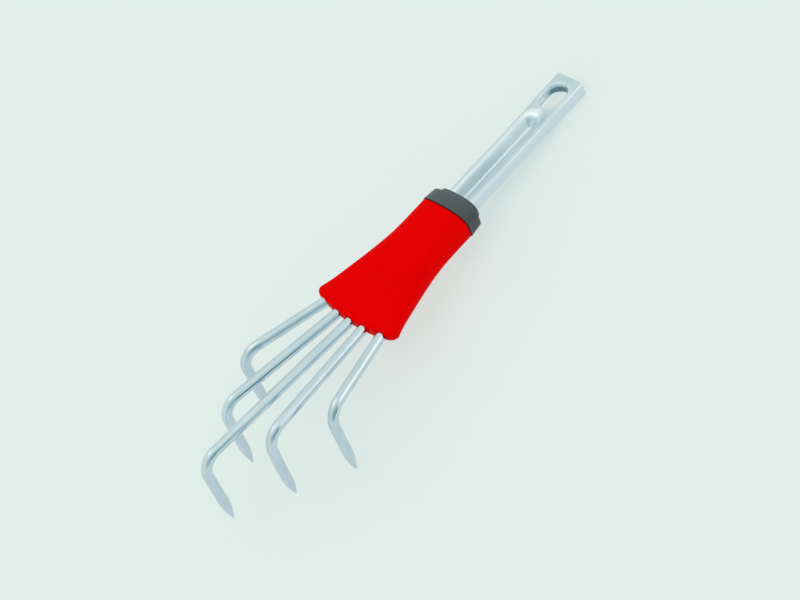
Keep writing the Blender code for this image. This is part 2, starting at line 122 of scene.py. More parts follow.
# Collar
RING_LENGTH = 0.0100
RING_STEP = 0.0004
RING_TAPER = 0.0008
RING_EDGE_RADIUS = 0.0009
BOSS_LENGTH = 0.0034
BOSS_SIDE_WALL = 0.0046
BOSS_TOP_WALL = 0.0043
BOSS_EXPONENT = 2.6
BOSS_DROP = 0.0004
SPIGOT_LENGTH = 0.0040
SPIGOT_SIDE_WALL = 0.0048
SPIGOT_TOP_WALL = 0.0040

# Painted light on the zinc. At 0 it is as plated, and at the values below it is painted lighter,
# painted as a highlight or painted as shade.
LIT_LEVEL = 1.0
HIGHLIGHT_LEVEL = 2.0
SHADE_LEVEL = -2.0

# Across the groove, each pair is the distance from its middle, to the left when positive, and
# the painted light there, negative for painted shade.
GROOVE_PAINTED_LIGHT = (
    (-0.0096, 0.0), (-0.0086, -0.2), (-0.0068, -0.3), (-0.0050, 0.15), (-0.0037, 0.3),
    (-0.0028, 0.6), (-0.0019, 1.9), (-0.0014, 1.8), (0.0, 1.0), (0.0004, 0.8), (0.0009, -0.7),
    (0.0028, -0.7), (0.0046, -0.3), (0.0058, 0.9), (0.0076, 1.1), (0.0086, 0.3), (0.0092, 0.0),
)
# Painted highlights and shade on the tongue: along the groove, toward its closed end, on its
# folds and at the lock hole
GROOVE_BLEND = 0.0004
GROOVE_LIFT = 0.30
LIFT_START = 0.0300
LIFT_FULL = 0.0600
END_BLEND = 0.0030
END_SHIFT = -0.0030
END_SHINE = 0.45
CREASE_TURN = math.radians(-27.0)
CREASE_SPREAD = math.radians(8.0)
CREASE_PAINTED_SHADE = 0.35
RIGHT_FOLD_HIGHLIGHT = 0.9
LEFT_FOLD_SHADE = -0.4
FOLD_PAINT_START = 0.0092
FOLD_PAINT_FULL = 0.0104
RIM_SHINE = 0.9
RIM_SHINE_SPREAD = 0.0009
HOLE_SHINE = 1.2
HOLE_PAINTED_SHADE = 1.68
HOLE_SHADE_DEPTH = 0.0036
HOLE_SHADE_START = -0.0003
HOLE_SHADE_FULL = 0.0076
HOLE_SHADE_SLANT = 0.3
# Painted shade on the claws
CLAW_PAINTED_SHADE = 0.12
# Darker still over the claws' last few millimetres
CLAW_END_DARKENING = 0.7
CLAW_END_LENGTH = 0.0030

# Painted reflections on the rods, as dark and light streaks: the tine, the angle round it from
# its top and the streak's spread in degrees, where it starts and ends along the rod, how it fades
# in, its painted light.
PAINTED_STREAKS = (
    ("tine_left_outer", 50, 9, 0.0925, 0.0970, 0.0030, -0.9),
    ("tine_left_outer", 14, 9, 0.0935, 0.0985, 0.0020, 1.2),
    ("tine_left_inner", 64, 6, 0.0900, 0.1270, 0.0300, -1.4),
    ("tine_left_inner", 47, 6, 0.0900, 0.1270, 0.0300, 0.8),
    ("tine_middle", 52, 8, 0.1450, 0.1660, 0.0120, -0.85),
    ("tine_right_inner", 54, 10, 0.1300, 0.1350, 0.0025, -0.4),
    ("tine_right_outer", 40, 12, 0.1020, 0.1055, 0.0025, -0.5),
)
STREAK_END = 0.0030

# Painted light and shade on the mouldings: up to 1 lighter, down to -1 darker
SIDE_LIGHT = 0.8
SIDE_TILT = 0.85
SIDE_TILT_FULL = 0.35
JOINT_SHADE = 1.0
JOINT_SHADE_LENGTH = 0.0010
BOSS_FOOT_SHADE = 1.0
BOSS_EDGE_LIGHT = 0.35
RING_EDGE_LIGHT = 0.6
COLLAR_SIDE_LIGHT = 0.3

# Finishes. A noise runs mostly between the two steps, and is stretched over two colours or two
# values. Scales are in cells per metre. Strengths and depths are those of the bump.
NOISE_STEPS = (0.3, 0.7)
ZINC_COLOURS = ((0.555, 0.660, 0.735), (0.660, 0.750, 0.845))
# Colours of the painted light on the zinc: painted lighter, painted highlight, painted shade
ZINC_LIT = (0.745, 0.815, 0.910)
ZINC_HIGHLIGHT = (0.92, 0.96, 0.98)
ZINC_SHADE = (0.04, 0.17, 0.215)
ZINC_ROUGHNESS = (0.065, 0.105)
LINE_ROUGHNESS = (-0.015, 0.025)
LINE_SCALE = 3200.0
LINE_STRETCH = (1.0, 1.0, 0.02)
LINE_STRENGTH = 0.08
PLATING_SCALE = 160.0
PLATING_STRETCH = (1.0, 1.0, 0.4)
PLATING_DETAIL = 4.0
SPECK_SCALE = 1400.0
SPECK_DETAIL = 3.0
SPECK_STRENGTH = 0.04
STEEL_DEPTH = 0.00001
RED_COLOURS = ((0.74, 0.0003, 0.0006), (0.80, 0.0005, 0.0008))
RED_LIGHT = (0.92, 0.0006, 0.0010)
RED_DARK = (0.08, 0.0001, 0.0001)
RED_ROUGHNESS = (0.33, 0.40)
RED_GRAIN_ROUGHNESS = (-0.02, 0.02)
RED_SPECULAR_TINT = (1.0, 0.01, 0.01, 1.0)
RED_IOR = 1.05
RED_FLOW_SCALE = 60.0
RED_FLOW_STRETCH = (0.4, 1.0, 1.0)
RED_GRAIN_SCALE = 2600.0
RED_GRAIN_STRENGTH = 0.12
GREY_COLOURS = ((0.048, 0.059, 0.070), (0.062, 0.075, 0.087))
GREY_LIGHT = (0.110, 0.125, 0.135)
GREY_DARK = (0.018, 0.022, 0.025)
GREY_ROUGHNESS = (0.42, 0.50)
GREY_GRAIN_ROUGHNESS = (-0.03, 0.03)
GREY_FLOW_SCALE = 90.0
GREY_GRAIN_SCALE = 3000.0
GREY_GRAIN_STRENGTH = 0.18
GRAIN_DEPTH = 0.00002
FLOW_DETAIL = 3.0

# Studio. The room has one colour all round, to which each lobe adds or from which it takes:
# azimuth and elevation of its middle in degrees, how tight it is, its colour.
ROOM_COLOUR = (0.820, 0.906, 0.843)
ROOM_LOBES = (
    (-48.3, 24.9, 11.8, (0.810, 0.633, 0.565)),
    (-84.2, 5.8, 29.1, (-0.621, -0.566, -0.575)),
    (-107.0, 14.0, 40.0, (-0.199, -0.170, -0.193)),
    (-43.0, 16.0, 60.0, (0.173, 0.132, 0.106)),
    (-84.0, -1.0, 150.0, (-0.200, -0.180, -0.170)),
    (2.0, 66.0, 60.0, (0.140, 0.120, 0.110)),
    (-62.2, 32.9, 14.9, (-0.557, -0.422, -0.371)),
    (75.6, 77.1, 17.6, (0.349, 0.311, 0.290)),
    (95.0, 54.0, 40.0, (0.380, 0.360, 0.340)),
    (-123.4, 33.6, 8.2, (-0.449, -0.349, -0.309)),
)
SOFTBOX_PLACE = Vector((-0.35, -0.25, 1.50))
SOFTBOX_WIDTH = 1.6
SOFTBOX_ENERGY = 5.0
FLOOR_HALF = 12.0
FLOOR_GAP = 0.0002
FLOOR_CLOUD_SCALE = 3.0
FLOOR_COLOURS = ((0.205, 0.200, 0.192), (0.211, 0.206, 0.198))
FLOOR_GLOW = ((0.543, 0.625, 0.612), (0.551, 0.633, 0.620))
FLOOR_ROUGHNESS = 0.9
FLOOR_SPECULAR = 0.1

# Camera, in the tool's frame, in metres. The lens and the sensor are in millimetres.
CAMERA_SENSOR = 36.0
CAMERA_LENS = 88.966
CAMERA_CLIP = 0.01
CAMERA_PLACE = (-0.404781, -0.734404, 0.921106)
CAMERA_RIGHT = Vector((0.653524, -0.692933, -0.304548))
CAMERA_UP = Vector((0.706107, 0.413219, 0.575033))

# Fineness
ROD_SIDES = 72
STRAIGHT_STEPS = 24
BEND_STEPS = 28
POINT_STEPS = 26
TIP_STEPS = 5
PLATE_STEPS = 2
UNFOLD_STEPS = 24
LEAD_STEPS = 8
GROOVE_STEPS = 20
RUN_OUT_STEPS = 36
END_STEPS = 56
RING_POINTS = 144
FLARE_STEPS = 48
CORNER_STEPS = 14
EDGE_STEPS = 8
FACE_STEPS = 6
TOP_COLUMNS = 44
FOLD_COLUMNS = 10
WALL_COLUMNS = 3
HOLE_POINTS = 96
SHARP_ANGLE = math.radians(32)
LEAST_EDGE = 0.00001
LEAST_MITRE = 0.4

# Worked out from the sizes above
ROOT_PITCH = 2 * ROD_RADIUS + ROOT_GAP
RIDGE_Y = TONGUE_WIDTH / 2 - FOLD_RADIUS
TONGUE_TOP = TONGUE_HEIGHT / 2
PLATE_REAR = -ROOT_SETBACK + PLATE_REAR_MARGIN
PLATE_FRONT = PLATE_REAR - PLATE_LENGTH
BODY_REAR = -RING_LENGTH - SEAT_GAP
HOLE_CENTRE = TONGUE_LENGTH - HOLE_FROM_TIP

# Reach and side of a tine's bend, its root's place in the row of roots, its claw's length and bow
Tine = namedtuple("Tine", "reach side place claw bow")
TINES = {
    "tine_left_outer": Tine(OUTER_REACH, OUTER_SPREAD, 2, LEFT_CLAW_LENGTH, 0.0),
    "tine_left_inner": Tine(INNER_REACH, INNER_SPREAD, 1, CLAW_LENGTH, 0.0),
    "tine_middle": Tine(MIDDLE_REACH, 0.0, 0, CLAW_LENGTH, 0.0),
    "tine_right_inner": Tine(INNER_REACH, -INNER_SPREAD, -1, CLAW_LENGTH, RIGHT_CLAW_BOW),
    "tine_right_outer": Tine(OUTER_REACH, -OUTER_SPREAD, -2, OUTER_CLAW_LENGTH, 0.0),
}

# The tool's frame in the row's frame. The shoulder mount lies at this point of the tool.
SHOULDER_POINT = Vector((0.0, 0.0170, -0.0010))
mounts = {mount["name"]: mount for mount in frame["record"]["mounts"]}
along = Vector(mounts["handle_shoulder"]["axis"]).normalized()
above = Vector(mounts["tongue_face"]["axis"]).normalized()
TURN = Matrix((along, above.cross(along), above)).transposed()
ORIGIN = Vector(mounts["handle_shoulder"]["pos_m"]) - TURN @ SHOULDER_POINT
TO_ROW = Matrix.Translation(ORIGIN) @ TURN.to_4x4()


def ease(start, end, value):
    """0 at start, 1 at end, held beyond them, with a smooth S between."""
    t = min(max((value - start) / (end - start), 0.0), 1.0)
    return t * t * (3.0 - 2.0 * t)


def mix(a, b, t):
    return a + (b - a) * t


def banded(pairs, place):
    """The value at a place, straight between the pairs and held beyond them."""
    if place <= pairs[0][0]:
        return pairs[0][1]
    for (start, low), (end, high) in zip(pairs, pairs[1:]):
        if place <= end:
            return mix(low, high, (place - start) / (end - start))
    return pairs[-1][1]


def spread(start, end, steps):
    return [mix(start, end, i / steps) for i in range(steps)]


# Meshes


def loft_mesh(name, rings, centre=None):
    """A closed skin through equal rings of points, ended flat or round a centre point."""
    bm = bmesh.new()
    loops = [[bm.verts.new(point) for point in ring] for ring in rings]
    for lower, upper in zip(loops, loops[1:]):
        for i in range(len(lower)):
            j = (i + 1) % len(lower)
            bm.faces.new((lower[i], lower[j], upper[j], upper[i]))
    bm.faces.new(loops[0])
    if centre is None:
        bm.faces.new(loops[-1])
    else:
        hub = bm.verts.new(centre)
        last = loops[-1]
        for i in range(len(last)):
            bm.faces.new((last[i], last[(i + 1) % len(last)], hub))
    bmesh.ops.recalc_face_normals(bm, faces=bm.faces)
    mesh = bpy.data.meshes.new(name)
    bm.to_mesh(mesh)
    bm.free()
    return mesh


def object_of(mesh):
    item = bpy.data.objects.new(mesh.name, mesh)
    bpy.context.scene.collection.objects.link(item)
    return item


def cut(item, cutter, operation="DIFFERENCE"):
    modifier = item.modifiers.new("cut", "BOOLEAN")
    modifier.operation = operation
    modifier.solver = "EXACT"
    modifier.object = cutter


def baked(item, cutters):
    """The item's mesh with its modifiers applied. The item and its cutters are removed."""
    depsgraph = bpy.context.evaluated_depsgraph_get()
    mesh = bpy.data.meshes.new_from_object(item.evaluated_get(depsgraph))
    for used in [item] + cutters:
        bpy.data.objects.remove(used, do_unlink=True)
    return mesh


def add_lay(mesh, points, painted_light):
    """Stores, for each corner point, where it lies on the drawn steel, across and then along,
    and the painted light and shade there."""
    layer = mesh.attributes.new("lay", "FLOAT_VECTOR", "POINT")
    layer.data.foreach_set("vector", [value for point in points for value in point])
    layer = mesh.attributes.new("painted_light", "FLOAT", "POINT")
    layer.data.foreach_set("value", painted_light)


def add_shade(mesh, shade):
    """Stores, for each corner point of a moulding, its painted light and shade, from 1 to -1."""
    layer = mesh.attributes.new("shade", "FLOAT", "POINT")
    layer.data.foreach_set("value", shade)


def show(name, mesh, replaced, material):
    """Sets a finished mesh in the row's frame, in place of its solid."""
    mesh.transform(TO_ROW)
    mesh.materials.clear()
    mesh.materials.append(material)
    mesh.shade_smooth()
    mesh.set_sharp_from_angle(angle=SHARP_ANGLE)
    item = bpy.data.objects.new(name, mesh)
    bpy.context.scene.collection.objects.link(item)
    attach(item, "root")
    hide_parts(replaced)


# Node helpers


def node(tree, kind, inputs=None, **settings):
    item = tree.nodes.new(kind)
    for key, value in settings.items():
        setattr(item, key, value)
    for key, value in (inputs or {}).items():
        if isinstance(value, bpy.types.NodeSocket):
            tree.links.new(value, item.inputs[key])
        else:
            item.inputs[key].default_value = value
    return item


def scaled(tree, vector, scale):
    return node(tree, "ShaderNodeMapping", {"Vector": vector, "Scale": scale}).outputs[0]


def noise(tree, vector, scale, detail=2.0):
    return node(tree, "ShaderNodeTexNoise",
                {"Vector": vector, "Scale": scale, "Detail": detail}).outputs["Fac"]


def ranged(tree, value, low, high, to_low, to_high):
    return node(tree, "ShaderNodeMapRange",
                {"Value": value, "From Min": low, "From Max": high, "To Min": to_low,
                 "To Max": to_high}).outputs[0]


def stretched(tree, value, pair):
    """A noise's usual values, stretched to run from the pair's first to its second."""
    return ranged(tree, value, *NOISE_STEPS, *pair)


def blended(tree, factor, first, second):
    """A colour between two, each a socket or three numbers."""
    item = node(tree, "ShaderNodeMix", {"Factor": factor}, data_type="RGBA")
    colours = [socket for socket in item.inputs if socket.type == "RGBA"]
    for socket, colour in zip(colours, (first, second)):
        if isinstance(colour, bpy.types.NodeSocket):
            tree.links.new(colour, socket)
        else:
            socket.default_value = (*colour, 1.0)
    return [socket for socket in item.outputs if socket.type == "RGBA"][0]


def bumped(tree, height, strength, distance, normal=None):
    inputs = {"Height": height, "Strength": strength, "Distance": distance}
    if normal:
        inputs["Normal"] = normal
    return node(tree, "ShaderNodeBump", inputs).outputs[0]


def clouded(tree, value, colours):
    return blended(tree, stretched(tree, value, (0.0, 1.0)), *colours)


def summed(tree, a, b):
    return node(tree, "ShaderNodeMath", {0: a, 1: b}, operation="ADD").outputs[0]


def new_material(name):
    material = bpy.data.materials.new(name)
    material.use_nodes = True
    return material, material.node_tree, material.node_tree.nodes["Principled BSDF"]


def zinc_steel():
    """Bright zinc on drawn steel, fine lines along the stock, clouds in the plating, painted
    light.
    """
    material, tree, shader = new_material("zinc_finish_and_painted_light")
    lay = node(tree, "ShaderNodeAttribute", attribute_name="lay").outputs["Vector"]
    lines = noise(tree, scaled(tree, lay, LINE_STRETCH), LINE_SCALE)
    clouds = noise(tree, scaled(tree, lay, PLATING_STRETCH), PLATING_SCALE, PLATING_DETAIL)
    specks = noise(tree, lay, SPECK_SCALE, SPECK_DETAIL)
    painted_light = node(tree, "ShaderNodeAttribute", attribute_name="painted_light").outputs["Fac"]
    plain = clouded(tree, clouds, ZINC_COLOURS)
    # Painted light: the stored value mixes in lighter zinc, painted highlights and painted shade
    light_paint = blended(tree, ranged(tree, painted_light, 0.0, LIT_LEVEL, 0.0, 1.0), plain, ZINC_LIT)
    bright = blended(tree, ranged(tree, painted_light, LIT_LEVEL, HIGHLIGHT_LEVEL, 0.0, 1.0), light_paint, ZINC_HIGHLIGHT)
    shade_paint = blended(tree, ranged(tree, painted_light, SHADE_LEVEL, 0.0, 1.0, 0.0), bright, ZINC_SHADE)
    tree.links.new(shade_paint, shader.inputs["Base Color"])
    rough = summed(tree, stretched(tree, clouds, ZINC_ROUGHNESS),
                   stretched(tree, lines, LINE_ROUGHNESS))
    tree.links.new(rough, shader.inputs["Roughness"])
    shader.inputs["Metallic"].default_value = 1.0
    fine = bumped(tree, lines, LINE_STRENGTH, STEEL_DEPTH)
    tree.links.new(bumped(tree, specks, SPECK_STRENGTH, STEEL_DEPTH, fine),
                   shader.inputs["Normal"])
    return material


def shaded(tree, colour, light, dark):
    """A moulding's colour, lighter and darker as its stored painted light and shade say."""
    shade = node(tree, "ShaderNodeAttribute", attribute_name="shade").outputs["Fac"]
    lit = blended(tree, ranged(tree, shade, 0.0, 1.0, 0.0, 1.0), colour, light)
    return blended(tree, ranged(tree, shade, -1.0, 0.0, 1.0, 0.0), lit, dark)


def red_plastic():
    """Moulded red plastic, satin to gloss, with a faint grain and slight flow marks."""
    material, tree, shader = new_material("red_finish_and_painted_light")
    place = node(tree, "ShaderNodeTexCoord").outputs["Object"]
    flow = noise(tree, scaled(tree, place, RED_FLOW_STRETCH), RED_FLOW_SCALE, FLOW_DETAIL)
    grain = noise(tree, place, RED_GRAIN_SCALE)
    tree.links.new(shaded(tree, clouded(tree, flow, RED_COLOURS), RED_LIGHT, RED_DARK),
                   shader.inputs["Base Color"])
    rough = summed(tree, stretched(tree, flow, RED_ROUGHNESS),
                   stretched(tree, grain, RED_GRAIN_ROUGHNESS))
    tree.links.new(rough, shader.inputs["Roughness"])
    shader.inputs["Specular Tint"].default_value = RED_SPECULAR_TINT
    shader.inputs["IOR"].default_value = RED_IOR
    tree.links.new(bumped(tree, grain, RED_GRAIN_STRENGTH, GRAIN_DEPTH), shader.inputs["Normal"])
    return material


def grey_plastic():
    """Dark grey moulded plastic with a fine spark-eroded grain."""
    material, tree, shader = new_material("grey_finish_and_painted_light")
    place = node(tree, "ShaderNodeTexCoord").outputs["Object"]
    flow = noise(tree, place, GREY_FLOW_SCALE, FLOW_DETAIL)
    grain = noise(tree, place, GREY_GRAIN_SCALE)
    tree.links.new(shaded(tree, clouded(tree, flow, GREY_COLOURS), GREY_LIGHT, GREY_DARK),
                   shader.inputs["Base Color"])
    rough = summed(tree, stretched(tree, flow, GREY_ROUGHNESS),
                   stretched(tree, grain, GREY_GRAIN_ROUGHNESS))
    tree.links.new(rough, shader.inputs["Roughness"])
    tree.links.new(bumped(tree, grain, GREY_GRAIN_STRENGTH, GRAIN_DEPTH),
                   shader.inputs["Normal"])
    return material


# The fan of tines


def fan_point(ahead, y, height=0.0):
    run = ahead - FAN_CROSSING
    x = -FAN_CROSSING - run * math.cos(FAN_PITCH) + height * math.sin(FAN_PITCH)
    return Vector((x, y, run * math.sin(FAN_PITCH) + height * math.cos(FAN_PITCH)))


def outer_rod_y(ahead):
    share = (ahead - ROOT_SETBACK) / (OUTER_REACH - ROOT_SETBACK)
    return mix(2 * ROOT_PITCH, OUTER_SPREAD, share)


def rod_frame(tine):
    """Root, corner, outward and upward directions of one rod."""
    root = fan_point(ROOT_SETBACK, tine.place * ROOT_PITCH)
    corner = fan_point(tine.reach, tine.side)
    up = (fan_point(0, 0, 1) - fan_point(0, 0)).normalized()
    return root, corner, (corner - root).normalized(), up


def tine_stations(tine):
    """Axis points of one tine with the direction out of its bend and the radius there, then its
    tip and the direction across it. A bowed claw bulges outward halfway along."""
    root, corner, outward, up = rod_frame(tine)
    trim = BEND_RADIUS * math.tan(CLAW_ANGLE / 2)
    start = corner - outward * trim
    centre = start - up * BEND_RADIUS
    stations = [(root.lerp(start, i / STRAIGHT_STEPS), up, ROD_RADIUS)
                for i in range(STRAIGHT_STEPS)]
    for i in range(BEND_STEPS + 1):
        turn = CLAW_ANGLE * i / BEND_STEPS
        out = up * math.cos(turn) + outward * math.sin(turn)
        stations.append((centre + out * BEND_RADIUS, out, ROD_RADIUS))
    down = outward * math.cos(CLAW_ANGLE) - up * math.sin(CLAW_ANGLE)
    out = stations[-1][1]
    shoulder = tine.claw - POINT_LENGTH
    for distance in spread(trim, shoulder, STRAIGHT_STEPS // 2)[1:]:
        stations.append((corner + down * distance, out, ROD_RADIUS))
    cone = POINT_LENGTH - POINT_TIP_RADIUS
    for i in range(POINT_STEPS + 1):
        t = i / POINT_STEPS
        radius = mix(ROD_RADIUS, POINT_TIP_RADIUS, t ** POINT_FULLNESS)
        stations.append((corner + down * (shoulder + cone * t), out, radius))
    for i in range(1, TIP_STEPS):
        angle = math.pi / 2 * i / TIP_STEPS
        distance = tine.claw - POINT_TIP_RADIUS * (1 - math.sin(angle))
        stations.append((corner + down * distance, out, POINT_TIP_RADIUS * math.cos(angle)))
    bowed = []
    for centre, facing, radius in stations:
        past = min(max(((centre - corner).dot(down) - trim) / (tine.claw - trim), 0.0), 1.0)
        bowed.append((centre + out * tine.bow * math.sin(math.pi * past), facing, radius))
    return bowed, corner + down * tine.claw, up.cross(outward)


def streak_painted_light(name, angle, along_rod):
    """Painted light that the painted streaks of the named tine add at an angle round it."""
    total = 0.0
    for streaked, middle, width, start, end, fade, painted_light in PAINTED_STREAKS:
        if streaked == name:
            share = ease(start - fade, start, along_rod)
            share *= 1 - ease(end, end + STREAK_END, along_rod)
            total += painted_light * share * math.exp(-((math.degrees(angle) - middle) / width) ** 2)
    return total


def build_tine(name, tine, material):
    stations, tip, across = tine_stations(tine)
    rings = []
    lay = []
    travelled = 0.0
    before = stations[0][0]
    for centre, out, radius in stations:
        travelled += (centre - before).length
        before = centre
        ring = []
        for i in range(ROD_SIDES):
            angle = 2 * math.pi * i / ROD_SIDES
            ring.append(centre + (out * math.cos(angle) + across * math.sin(angle)) * radius)
            lay.append((ROD_RADIUS * math.cos(angle), ROD_RADIUS * math.sin(angle), travelled))
        rings.append(ring)
    lay.append((0.0, 0.0, travelled))
    # Painted shade on the claw, darker still at its end, and painted reflection streaks
    painted_light = [-CLAW_PAINTED_SHADE * ease(travelled - tine.claw, travelled, along_rod)
            - CLAW_END_DARKENING * ease(travelled - CLAW_END_LENGTH, travelled, along_rod)
            + streak_painted_light(name, math.atan2(side, top), along_rod)
            for top, side, along_rod in lay]
    mesh = loft_mesh(name + "_drawn", rings, tip)
    add_lay(mesh, lay, painted_light)
    show(name + "_drawn", mesh, name, material)


def rod_cutter(tine):
    """The space that a rod takes up in the body."""
    root, corner, outward, up = rod_frame(tine)
    across = up.cross(outward)
    radius = ROD_RADIUS + SEAT_GAP
    rings = []
    for distance in (-SEAT_GAP, BODY_FRONT - ROOT_SETBACK + FRONT_ARC_FADE):
        middle = root + outward * distance
        rings.append([middle + (up * math.cos(angle) + across * math.sin(angle)) * radius
                      for angle in [2 * math.pi * (i + 0.5) / ROD_SIDES
                                    for i in range(ROD_SIDES)]])
    return object_of(loft_mesh("bore", rings))


# The pressed tongue


def groove_drop(distance, depth):
    """How far the sheet lies below its ridges: round crests, straight walls, round valley."""
    if depth < LEAST_EDGE or distance >= RIDGE_Y:
        return 0.0
    crest = GROOVE_CREST_RADIUS
    reach = math.hypot(RIDGE_Y, depth - crest)
    slope = math.atan2(depth - crest, RIDGE_Y) + math.asin(crest / reach)
    if distance < VALLEY_RADIUS * math.sin(slope):
        arc = math.sqrt(VALLEY_RADIUS ** 2 - distance ** 2)
        return depth - VALLEY_RADIUS / math.cos(slope) + arc
    if distance < math.sqrt(reach ** 2 - crest ** 2) * math.cos(slope):
        return depth - distance * math.tan(slope)
    return crest - math.sqrt(crest ** 2 - (RIDGE_Y - distance) ** 2)


def groove_distance(x, y):
    """Distance from the groove's middle, which spreads round the groove's closed end."""
    apex = GROOVE_LENGTH - GROOVE_RUN_OUT
    offset = GROOVE_RUN_OUT - RIDGE_Y
    ahead = x - apex
    side = abs(y)
    if ahead * RIDGE_Y <= offset * side:
        return side
    a = RIDGE_Y ** 2 - offset ** 2
    b = 2 * offset * ahead
    c = ahead ** 2 + side ** 2
    return RIDGE_Y * (math.sqrt(b * b + 4 * a * c) - b) / (2 * a)


def plate_top(x):
    height = ROD_RADIUS + SEAT_GAP + SHEET
    return (-x - FAN_CROSSING) * math.tan(FAN_PITCH) + height / math.cos(FAN_PITCH)


def half_section(x):
    """Half of the tongue's upper outline at x, from the middle to the free edge."""
    channel = ease(PLATE_REAR, PLATE_REAR + UNFOLD_LENGTH, x)
    top = mix(plate_top(x), TONGUE_TOP, channel)
    angle = channel * math.pi / 2
    depth = GROOVE_DEPTH * ease(PLATE_REAR + UNFOLD_LENGTH / 2, -GROOVE_START, x)
    fold = mix(FOLD_RADIUS, TIP_FOLD_RADIUS, ease(GROOVE_LENGTH - GROOVE_RUN_OUT,
                                                  HOLE_CENTRE, x))
    flat = TONGUE_WIDTH / 2 - fold
    fold_run = fold * math.pi / 2
    wall = TONGUE_HEIGHT - fold
    flat_half = outer_rod_y(-x) + PLATE_OVERHANG
    wall += max(flat_half - flat - fold_run - wall, 0.0) * (1 - channel)
    points = []
    for i in range(TOP_COLUMNS + 1):
        y = flat * i / TOP_COLUMNS
        points.append((y, top - groove_drop(groove_distance(x, y), depth)))
    y, z = flat, top
    for columns, run, bending in ((FOLD_COLUMNS, fold_run, True), (WALL_COLUMNS, wall, False)):
        for i in range(columns):
            heading = angle * (i + 0.5) / columns if bending else angle
            y += run / columns * math.cos(heading)
            z -= run / columns * math.sin(heading)
            points.append((y, z))
    return points


def tongue_stations():
    unfolded = PLATE_REAR + UNFOLD_LENGTH
    run_out = GROOVE_LENGTH - GROOVE_RUN_OUT
    stations = spread(PLATE_FRONT, PLATE_REAR, PLATE_STEPS)
    stations += spread(PLATE_REAR, unfolded, UNFOLD_STEPS)
    stations += spread(unfolded, -GROOVE_START, LEAD_STEPS)
    stations += spread(-GROOVE_START, run_out, GROOVE_STEPS)
    stations += spread(run_out, GROOVE_LENGTH, RUN_OUT_STEPS)
    stations += spread(GROOVE_LENGTH, TONGUE_LENGTH, END_STEPS)
    return stations + [TONGUE_LENGTH]


def oval_ring(grow, near_z, far_z=None):
    """The lock hole's outline, grown all round, at one height or sloping to a far one."""
    slope = 0.0 if far_z is None else (far_z - near_z) / HOLE_LENGTH
    radius = HOLE_WIDTH / 2
    straight = (HOLE_LENGTH - HOLE_WIDTH) / 2
    points = []
    for i in range(HOLE_POINTS):
        angle = 2 * math.pi * (i + 0.5) / HOLE_POINTS
        x = HOLE_CENTRE + math.copysign(straight, math.cos(angle))
        x += (radius + grow) * math.cos(angle)
        z = near_z + slope * (x - HOLE_CENTRE + HOLE_LENGTH / 2)
        points.append((x, (radius + grow) * math.sin(angle), z))
    return points


def tongue_painted_light(place):
    """Painted light on the tongue: painted highlights on the left ridge, the right fold, the
    valley and the lock hole's rim, stronger toward the groove's closed end, and painted shade on
    one of the groove's walls, in a streak across its closed end, along the left fold and deep at
    the lock hole's far end."""
    x, y, z = place
    past = max(abs(x - HOLE_CENTRE) - (HOLE_LENGTH - HOLE_WIDTH) / 2, 0.0)
    off_rim = math.hypot(past, y) - HOLE_WIDTH / 2
    inside = 1 - ease(RIM_RADIUS / 3, RIM_RADIUS, off_rim)
    if inside > 0:
        # Painted highlight at the hole's rim and upper wall, painted shade deep at its far end
        deep = ease(TONGUE_TOP - RIM_RADIUS, TONGUE_TOP - HOLE_SHADE_DEPTH, z)
        far = ease(HOLE_SHADE_START, HOLE_SHADE_FULL, x - HOLE_CENTRE + HOLE_SHADE_SLANT * y)
        return mix(RIM_SHINE, mix(HOLE_SHINE, -HOLE_PAINTED_SHADE, far), deep) * inside
    ended = ease(GROOVE_LENGTH - GROOVE_RUN_OUT, GROOVE_LENGTH - GROOVE_RUN_OUT / 2, x)
    across = groove_distance(x, y)
    middle = END_SHIFT * ended
    blend = mix(GROOVE_BLEND, END_BLEND, ended)
    light_paint = mix(banded(GROOVE_PAINTED_LIGHT, -across), banded(GROOVE_PAINTED_LIGHT, across),
               ease(middle - blend, middle + blend, y))
    light_paint *= ease(-GROOVE_START - UNFOLD_LENGTH, -GROOVE_START, x)
    # Painted light rising toward the groove's closed end
    light_paint += GROOVE_LIFT * ease(LIFT_START, LIFT_FULL, x) * ease(RIDGE_Y, RIDGE_Y / 2, across)
    if ended > 0:
        light_paint *= 1 + END_SHINE * ended * ease(0.0, 1.0, light_paint)
        turn = math.atan2(y, x - GROOVE_LENGTH + GROOVE_RUN_OUT) - CREASE_TURN
        in_fan = ease(RIDGE_Y, RIDGE_Y / 2, across) * ended
        # Painted shade: a dark reflection streak across the fan
        light_paint -= CREASE_PAINTED_SHADE * in_fan * math.exp(-(turn / CREASE_SPREAD) ** 2)
    light_paint += RIM_SHINE * math.exp(-((off_rim - RIM_RADIUS) / RIM_SHINE_SPREAD) ** 2)
    # Painted highlight along the right fold, painted shade along the left one
    fold = LEFT_FOLD_SHADE if y > 0 else RIGHT_FOLD_HIGHLIGHT
    return light_paint + fold * ease(FOLD_PAINT_START, FOLD_PAINT_FULL, abs(y))


